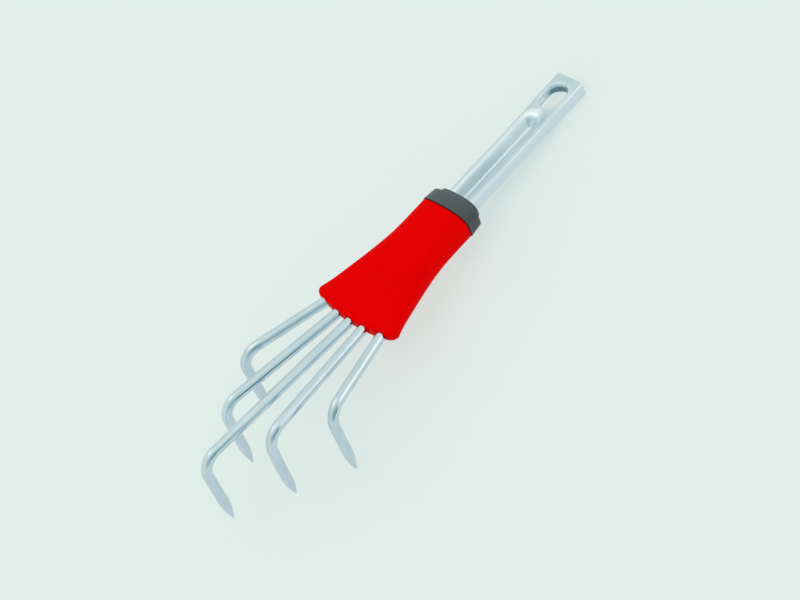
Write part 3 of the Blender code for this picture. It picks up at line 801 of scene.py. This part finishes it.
def build_tongue(material):
    bm = bmesh.new()
    rows = []
    for x in tongue_stations():
        half = half_section(x)
        section = [(-y, z) for y, z in reversed(half[1:])] + half
        at_tip = ease(GROOVE_LENGTH, TONGUE_LENGTH, x)
        rows.append([bm.verts.new((x - TIP_SAG * at_tip * (2 * y / TONGUE_WIDTH) ** 2, y, z))
                     for y, z in section])
    for near, far in zip(rows, rows[1:]):
        for i in range(len(near) - 1):
            bm.faces.new((near[i], far[i], far[i + 1], near[i + 1]))
    mesh = bpy.data.meshes.new("tongue_pressed")
    bm.to_mesh(mesh)
    bm.free()
    tongue = object_of(mesh)
    shell = tongue.modifiers.new("sheet", "SOLIDIFY")
    shell.thickness = SHEET
    shell.offset = -1.0
    shell.use_even_offset = True
    plug = object_of(loft_mesh("plug", [
        oval_ring(FLANGE_WALL, TONGUE_TOP - FLANGE_NEAR_DEPTH, TONGUE_TOP - FLANGE_FAR_DEPTH),
        oval_ring(FLANGE_WALL, TONGUE_TOP - SHEET / 2)]))
    rings = [oval_ring(0.0, TONGUE_TOP - TONGUE_HEIGHT - SHEET),
             oval_ring(0.0, TONGUE_TOP - HOLE_SHADE_DEPTH)]
    for i in range(EDGE_STEPS + 1):
        angle = math.pi / 2 * i / EDGE_STEPS
        rings.append(oval_ring(RIM_RADIUS * (1 - math.cos(angle)),
                               TONGUE_TOP - RIM_RADIUS * (1 - math.sin(angle))))
    rings.append(oval_ring(RIM_RADIUS, TONGUE_TOP + SHEET))
    hole = object_of(loft_mesh("hole", rings))
    cut(tongue, plug, "UNION")
    cut(tongue, hole)
    mesh = baked(tongue, [plug, hole])
    places = [vertex.co.copy() for vertex in mesh.vertices]
    add_lay(mesh, [(place.y, place.z, place.x) for place in places],
            [tongue_painted_light(place) for place in places])
    show("tongue_pressed", mesh, "tongue", material)


def offset_outline(points, distance):
    """The outline with each side moved out by the distance."""
    moved = []
    for i, point in enumerate(points):
        before = Vector(point) - Vector(points[i - 1])
        after = Vector(points[(i + 1) % len(points)]) - Vector(point)
        normal_a = Vector((before.y, -before.x)).normalized()
        normal_b = Vector((after.y, -after.x)).normalized()
        normal = normal_a + normal_b
        normal *= distance / max(normal.dot(normal_a), LEAST_MITRE)
        moved.append((point[0] + normal.x, point[1] + normal.y))
    return moved


def tongue_pocket():
    """The space that the tongue takes up in the body and the collar."""
    rings = []
    for x in [x for x in tongue_stations() if x < GROOVE_LENGTH / 2]:
        half = half_section(x)
        edge_y, edge_z = half[-1]
        turn = math.pi / 2 * ease(PLATE_REAR, PLATE_REAR + UNFOLD_LENGTH, x)
        floor = edge_z - SHEET * math.cos(turn) - LEAST_EDGE
        outline = [(-edge_y, floor), (0.0, floor), (edge_y, floor)]
        outline += list(reversed(half)) + [(-y, z) for y, z in half[1:]]
        start = x - SEAT_GAP if x == PLATE_FRONT else x
        rings.append([(start, y, z) for y, z in offset_outline(outline, SEAT_GAP)])
    return object_of(loft_mesh("pocket", rings))


# The moulded body and the collar


def ring_at(x, half_width, half_height, exponent, drop=0.0):
    """A rounded rectangle across the tool, whose corners sharpen with the exponent."""
    points = []
    for i in range(RING_POINTS):
        angle = 2 * math.pi * (i + 0.5) / RING_POINTS
        c = math.cos(angle)
        s = math.sin(angle)
        points.append((x, half_width * math.copysign(abs(c) ** (2 / exponent), c),
                       half_height * math.copysign(abs(s) ** (2 / exponent), s) - drop))
    return points


def bezier(a, b, c, d, t):
    u = 1 - t
    return u ** 3 * a + 3 * u * u * t * b + 3 * u * t * t * c + t ** 3 * d


def body_ring(x, half_width):
    """A section of the flare. Near the front its sides curve back, as the front face does."""
    flare_end = -BODY_FRONT + FLARE_LENGTH
    neck = ease(-BODY_FRONT, flare_end, x)
    half_height = mix(ROD_RADIUS + FRONT_TOP_WALL, TONGUE_HEIGHT / 2 + NECK_TOP_WALL, neck)
    exponent = mix(FRONT_EXPONENT, NECK_EXPONENT, neck)
    middle = mix(fan_point(BODY_FRONT, 0).z, -NECK_DROP, neck)
    arc = 1 - ease(-BODY_FRONT, -BODY_FRONT + FRONT_ARC_FADE, x)
    short = max(FRONT_EDGE_RADIUS - (x + BODY_FRONT), 0.0)
    inset = FRONT_EDGE_RADIUS - math.sqrt(FRONT_EDGE_RADIUS ** 2 - short ** 2)
    return [(x + arc * y * y / (2 * FRONT_ARC_RADIUS), y, z)
            for _, y, z in ring_at(x, half_width, half_height - inset, exponent, -middle)]


def quarter(radius, steps):
    """Inset and run of the points round a quarter circle, from its side to its end."""
    angles = [math.pi / 2 * i / steps for i in range(steps + 1)]
    return [(radius * (1 - math.cos(a)), radius * (1 - math.sin(a))) for a in angles]


def body_shade(x, tilt):
    """Painted light where the body faces sideways or down, painted shade at its joint with the
    collar.
    """
    side = SIDE_LIGHT * ease(-SIDE_TILT, -SIDE_TILT_FULL, -tilt)
    return side - (JOINT_SHADE + side) * ease(BODY_REAR - JOINT_SHADE_LENGTH, BODY_REAR, x)


def collar_shade(x, y):
    """Painted light to the left and at the edges, painted shade at the boss's foot."""
    shade = COLLAR_SIDE_LIGHT * y / (TONGUE_WIDTH / 2 + NECK_SIDE_WALL)
    if x > 0:
        return shade + mix(-BOSS_FOOT_SHADE, BOSS_EDGE_LIGHT, x / BOSS_LENGTH)
    return shade + RING_EDGE_LIGHT * ease(-RING_EDGE_RADIUS, 0.0, x)


def build_body(material, pocket):
    front_half = outer_rod_y(BODY_FRONT) + ROD_RADIUS + FRONT_SIDE_WALL
    neck_half = TONGUE_WIDTH / 2 + NECK_SIDE_WALL
    neck_height = TONGUE_HEIGHT / 2 + NECK_TOP_WALL
    flare_end = -BODY_FRONT + FLARE_LENGTH
    spigot = (TONGUE_WIDTH / 2 + SPIGOT_SIDE_WALL, TONGUE_HEIGHT / 2 + SPIGOT_TOP_WALL,
              NECK_EXPONENT, NECK_DROP)
    rings = [ring_at(BODY_REAR + SPIGOT_LENGTH, *spigot), ring_at(BODY_REAR, *spigot)]
    for inset, run in reversed(quarter(NECK_EDGE_RADIUS, EDGE_STEPS)):
        rings.append(ring_at(BODY_REAR - run, neck_half - inset, neck_height - inset,
                             NECK_EXPONENT, NECK_DROP))
    rings.append(ring_at(BODY_REAR - JOINT_SHADE_LENGTH, neck_half, neck_height,
                         NECK_EXPONENT, NECK_DROP))
    for i in range(FLARE_STEPS + 1):
        t = i / FLARE_STEPS
        x = bezier(flare_end, flare_end - FLARE_NECK_HANDLE,
                   -BODY_FRONT + FLARE_FRONT_HANDLE, -BODY_FRONT, t)
        half_width = bezier(neck_half, neck_half,
                            front_half - FLARE_FRONT_HANDLE * FLARE_FRONT_SLOPE,
                            front_half, t)
        if x > -BODY_FRONT + FRONT_CORNER_RADIUS:
            rings.append(body_ring(x, half_width))
    for inset, run in quarter(FRONT_CORNER_RADIUS, CORNER_STEPS):
        half_width = front_half - FLARE_FRONT_SLOPE * run - inset
        rings.append(body_ring(-BODY_FRONT + run, half_width))
    middle = fan_point(BODY_FRONT, 0).z
    last = rings[-1]
    for i in range(1, FACE_STEPS):
        share = 1 - i / FACE_STEPS
        rings.append([(-BODY_FRONT + (y * share) ** 2 / (2 * FRONT_ARC_RADIUS), y * share,
                       mix(middle, z, share)) for _, y, z in last])
    body = object_of(loft_mesh("body_moulded", rings, (-BODY_FRONT, 0, middle)))
    cut(body, pocket)
    bores = [rod_cutter(tine) for tine in TINES.values()]
    for bore in bores:
        cut(body, bore)
    mesh = baked(body, bores)
    add_shade(mesh, [body_shade(vertex.co.x, vertex.normal.z) for vertex in mesh.vertices])
    show("body_moulded", mesh, "body", material)


def build_collar(material, pocket):
    front = (TONGUE_WIDTH / 2 + NECK_SIDE_WALL + RING_STEP,
             TONGUE_HEIGHT / 2 + NECK_TOP_WALL + RING_STEP)
    rear = (front[0] - RING_TAPER, front[1] - RING_TAPER)
    boss = (TONGUE_WIDTH / 2 + BOSS_SIDE_WALL, TONGUE_HEIGHT / 2 + BOSS_TOP_WALL)
    rings = []
    for inset, run in reversed(quarter(RING_EDGE_RADIUS / 2, EDGE_STEPS)):
        rings.append(ring_at(-RING_LENGTH + run, front[0] - inset, front[1] - inset,
                             NECK_EXPONENT, NECK_DROP))
    for inset, run in quarter(RING_EDGE_RADIUS, EDGE_STEPS):
        rings.append(ring_at(-run, rear[0] - inset, rear[1] - inset, NECK_EXPONENT, NECK_DROP))
    rings.append(ring_at(0.0, *boss, BOSS_EXPONENT, BOSS_DROP))
    for inset, run in quarter(RING_EDGE_RADIUS, EDGE_STEPS):
        rings.append(ring_at(BOSS_LENGTH - run, boss[0] - inset, boss[1] - inset,
                             BOSS_EXPONENT, BOSS_DROP))
    collar = object_of(loft_mesh("collar_moulded", rings))
    recess = (TONGUE_WIDTH / 2 + SPIGOT_SIDE_WALL + SEAT_GAP,
              TONGUE_HEIGHT / 2 + SPIGOT_TOP_WALL + SEAT_GAP, NECK_EXPONENT, NECK_DROP)
    seat = object_of(loft_mesh("seat", [
        ring_at(BODY_REAR - SEAT_GAP, *recess),
        ring_at(BODY_REAR + SPIGOT_LENGTH + SEAT_GAP, *recess)]))
    cut(collar, pocket)
    cut(collar, seat)
    mesh = baked(collar, [seat])
    add_shade(mesh, [collar_shade(vertex.co.x, vertex.co.y) for vertex in mesh.vertices])
    show("collar_moulded", mesh, "collar", material)


# Studio


def direction(azimuth, elevation):
    a = math.radians(azimuth)
    e = math.radians(elevation)
    return Vector((math.cos(e) * math.cos(a), math.cos(e) * math.sin(a), math.sin(e)))


def build_world():
    """A bright, even room with a window, a lamp overhead and a few dim places."""
    world = bpy.data.worlds.new("studio")
    bpy.context.scene.world = world
    world.use_nodes = True
    tree = world.node_tree
    place = node(tree, "ShaderNodeTexCoord").outputs["Generated"]
    total = ROOM_COLOUR
    for azimuth, elevation, tightness, colour in ROOM_LOBES:
        dot = node(tree, "ShaderNodeVectorMath",
                   {0: place, 1: direction(azimuth, elevation)}, operation="DOT_PRODUCT")
        fall = node(tree, "ShaderNodeMath", {0: dot.outputs["Value"], 1: tightness,
                                             2: -tightness}, operation="MULTIPLY_ADD")
        weight = node(tree, "ShaderNodeMath", {0: fall.outputs[0]}, operation="EXPONENT")
        part = node(tree, "ShaderNodeVectorMath", {0: colour, "Scale": weight.outputs[0]},
                    operation="SCALE").outputs[0]
        total = node(tree, "ShaderNodeVectorMath", {0: total, 1: part},
                     operation="ADD").outputs[0]
    tree.links.new(total, tree.nodes["Background"].inputs["Color"])


def build_floor():
    mesh = bpy.data.meshes.new("floor")
    bm = bmesh.new()
    bmesh.ops.create_grid(bm, x_segments=1, y_segments=1, size=FLOOR_HALF)
    bm.to_mesh(mesh)
    bm.free()
    floor = object_of(mesh)
    floor.location.z = -FLOOR_GAP
    material, tree, shader = new_material("floor")
    place = node(tree, "ShaderNodeTexCoord").outputs["Object"]
    cloud = noise(tree, place, FLOOR_CLOUD_SCALE)
    tree.links.new(blended(tree, cloud, *FLOOR_COLOURS), shader.inputs["Base Color"])
    tree.links.new(blended(tree, cloud, *FLOOR_GLOW), shader.inputs["Emission Color"])
    shader.inputs["Emission Strength"].default_value = 1.0
    shader.inputs["Roughness"].default_value = FLOOR_ROUGHNESS
    shader.inputs["Specular IOR Level"].default_value = FLOOR_SPECULAR
    mesh.materials.append(material)


def build_softbox():
    """A round area lamp overhead, aimed at the tool. It isn't seen in the steel."""
    lamp = bpy.data.lights.new("softbox", "AREA")
    lamp.shape = "ELLIPSE"
    lamp.size = SOFTBOX_WIDTH
    lamp.size_y = SOFTBOX_WIDTH
    lamp.energy = SOFTBOX_ENERGY
    item = bpy.data.objects.new("softbox", lamp)
    bpy.context.scene.collection.objects.link(item)
    item.location = SOFTBOX_PLACE
    item.rotation_euler = (-SOFTBOX_PLACE).to_track_quat("-Z", "Y").to_euler()
    item.visible_glossy = False


def build_camera():
    data = bpy.data.cameras.new("camera")
    data.sensor_width = CAMERA_SENSOR
    data.lens = CAMERA_LENS
    data.clip_start = CAMERA_CLIP
    camera = bpy.data.objects.new("camera", data)
    bpy.context.scene.collection.objects.link(camera)
    axes = Matrix((CAMERA_RIGHT, CAMERA_UP, CAMERA_RIGHT.cross(CAMERA_UP))).transposed()
    camera.matrix_world = TO_ROW @ Matrix.Translation(CAMERA_PLACE) @ axes.to_4x4()
    bpy.context.scene.camera = camera


zinc = zinc_steel()
for name, tine in TINES.items():
    build_tine(name, tine, zinc)
build_tongue(zinc)
pocket = tongue_pocket()
build_body(red_plastic(), pocket)
build_collar(grey_plastic(), pocket)
bpy.data.objects.remove(pocket, do_unlink=True)
build_world()
build_floor()
build_softbox()
build_camera()
bpy.context.scene.view_settings.view_transform = "Standard"
